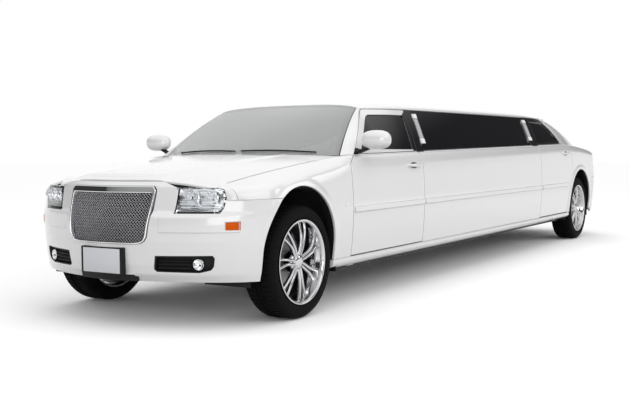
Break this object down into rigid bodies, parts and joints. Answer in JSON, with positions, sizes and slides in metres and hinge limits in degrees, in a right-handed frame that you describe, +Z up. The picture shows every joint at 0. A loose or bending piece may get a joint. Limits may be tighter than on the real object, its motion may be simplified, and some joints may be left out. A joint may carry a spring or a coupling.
{
  "type": "stretch limousine",
  "caption": "White stretch limousine built on a full-size sedan, with upright chrome mesh grille, dark side glass, opening doors, hood and boot lid, steered front wheels.",
  "frame": {"origin": "on the ground under the middle of the car", "axes": "+X to the nose, +Y to the car's left, +Z up"},
  "size_m": [8.046, 2.2312, 1.4912],
  "materials": {
    "white_paint": "gloss",
    "tinted_glass": "gloss",
    "clear_glass": "gloss",
    "chrome": "polished",
    "tyre": "matte",
    "cast_iron": "rough",
    "underbody": "satin",
    "black_plastic": "matte",
    "black_gloss": "gloss",
    "lamp_glass": "gloss",
    "amber_lens": "gloss",
    "red_lens": "gloss",
    "pale_plate": "satin",
    "trim_plastic": "matte",
    "leather": "satin",
    "aluminium": "cast",
    "steel": "satin"
  },
  "bodies": {
    "body": {"floor_pan": "underbody", "bulkheads": "underbody", "hinge_posts": "underbody", "rocker_panels": "white_paint", "wheel_liners": "black_plastic", "front_fenders": "white_paint", "stretch_sides": "white_paint", "quarter_panels": "white_paint", "roof": "white_paint", "pillars": "white_paint", "pillar_covers": "black_gloss", "front_bumper": "white_paint", "rear_bumper": "white_paint", "windshield": "clear_glass", "rear_window": "tinted_glass", "stretch_windows": "tinted_glass", "grille_frame": "chrome", "grille_mesh": "chrome", "headlamps": "lamp_glass", "fog_lamps": "black_plastic", "marker_lamps": "amber_lens", "tail_lamps": "red_lens", "number_plate": "pale_plate", "opera_lamps": "chrome", "dashboard": "trim_plastic", "steering_wheel": "trim_plastic", "seats": "leather", "engine": "aluminium", "exhaust": "steel", "front_subframe": "underbody", "rear_subframe": "underbody"},
    "front_left_door": {"door_front_left": "white_paint", "window_front_left": "tinted_glass", "mirror_left": "white_paint"},
    "front_left_wheel": {"wheel_front_left": "chrome", "tyre_front_left": "tyre"},
    "front_right_door": {"door_front_right": "white_paint", "window_front_right": "tinted_glass", "mirror_right": "white_paint"},
    "front_right_wheel": {"wheel_front_right": "chrome", "tyre_front_right": "tyre"},
    "rear_left_door": {"door_rear_left": "white_paint", "window_rear_left": "tinted_glass"},
    "rear_left_wheel": {"wheel_rear_left": "chrome", "tyre_rear_left": "tyre"},
    "rear_right_door": {"door_rear_right": "white_paint", "window_rear_right": "tinted_glass"},
    "rear_right_wheel": {"wheel_rear_right": "chrome", "tyre_rear_right": "tyre"},
    "left_knuckle": {"knuckle_left": "cast_iron"},
    "right_knuckle": {"knuckle_right": "cast_iron"},
    "hood_lid": {"hood": "white_paint"},
    "boot": {"boot_lid": "white_paint"}
  },
  "joints": [
    {"name": "steer_left", "type": "hinge", "parent": "body", "child": "left_knuckle", "pos_m": [3.163, 0.712, 0.364], "axis": [0, 0, 1], "range_deg": [-32, 32]},
    {"name": "steer_right", "type": "hinge", "parent": "body", "child": "right_knuckle", "pos_m": [3.163, -0.712, 0.364], "axis": [0, 0, 1], "range_deg": [-32, 32]},
    {"name": "front_left_spin", "type": "hinge", "parent": "left_knuckle", "child": "front_left_wheel", "pos_m": [3.163, 0.8, 0.364], "axis": [0, 1, 0], "continuous": true},
    {"name": "front_right_spin", "type": "hinge", "parent": "right_knuckle", "child": "front_right_wheel", "pos_m": [3.163, -0.8, 0.364], "axis": [0, 1, 0], "continuous": true},
    {"name": "rear_left_spin", "type": "hinge", "parent": "body", "child": "rear_left_wheel", "pos_m": [-2.933, 0.8, 0.364], "axis": [0, 1, 0], "continuous": true},
    {"name": "rear_right_spin", "type": "hinge", "parent": "body", "child": "rear_right_wheel", "pos_m": [-2.933, -0.8, 0.364], "axis": [0, 1, 0], "continuous": true},
    {"name": "front_left_door_hinge", "type": "hinge", "parent": "body", "child": "front_left_door", "pos_m": [2.48, 0.926, 0.7], "axis": [0, 0, -1], "range_deg": [0, 65]},
    {"name": "front_right_door_hinge", "type": "hinge", "parent": "body", "child": "front_right_door", "pos_m": [2.48, -0.926, 0.7], "axis": [0, 0, 1], "range_deg": [0, 65]},
    {"name": "rear_left_door_hinge", "type": "hinge", "parent": "body", "child": "rear_left_door", "pos_m": [-1.57, 0.926, 0.7], "axis": [0, 0, -1], "range_deg": [0, 65]},
    {"name": "rear_right_door_hinge", "type": "hinge", "parent": "body", "child": "rear_right_door", "pos_m": [-1.57, -0.926, 0.7], "axis": [0, 0, 1], "range_deg": [0, 65]},
    {"name": "hood_hinge", "type": "hinge", "parent": "body", "child": "hood_lid", "pos_m": [2.608, 0, 1.0134], "axis": [0, -1, 0], "range_deg": [0, 50]},
    {"name": "boot_hinge", "type": "hinge", "parent": "body", "child": "boot", "pos_m": [-3.123, 0, 1.1], "axis": [0, 1, 0], "range_deg": [0, 75]}
  ],
  "couplings": [
    {"joint": "steer_right", "follows": "steer_left", "ratio": 1}
  ]
}
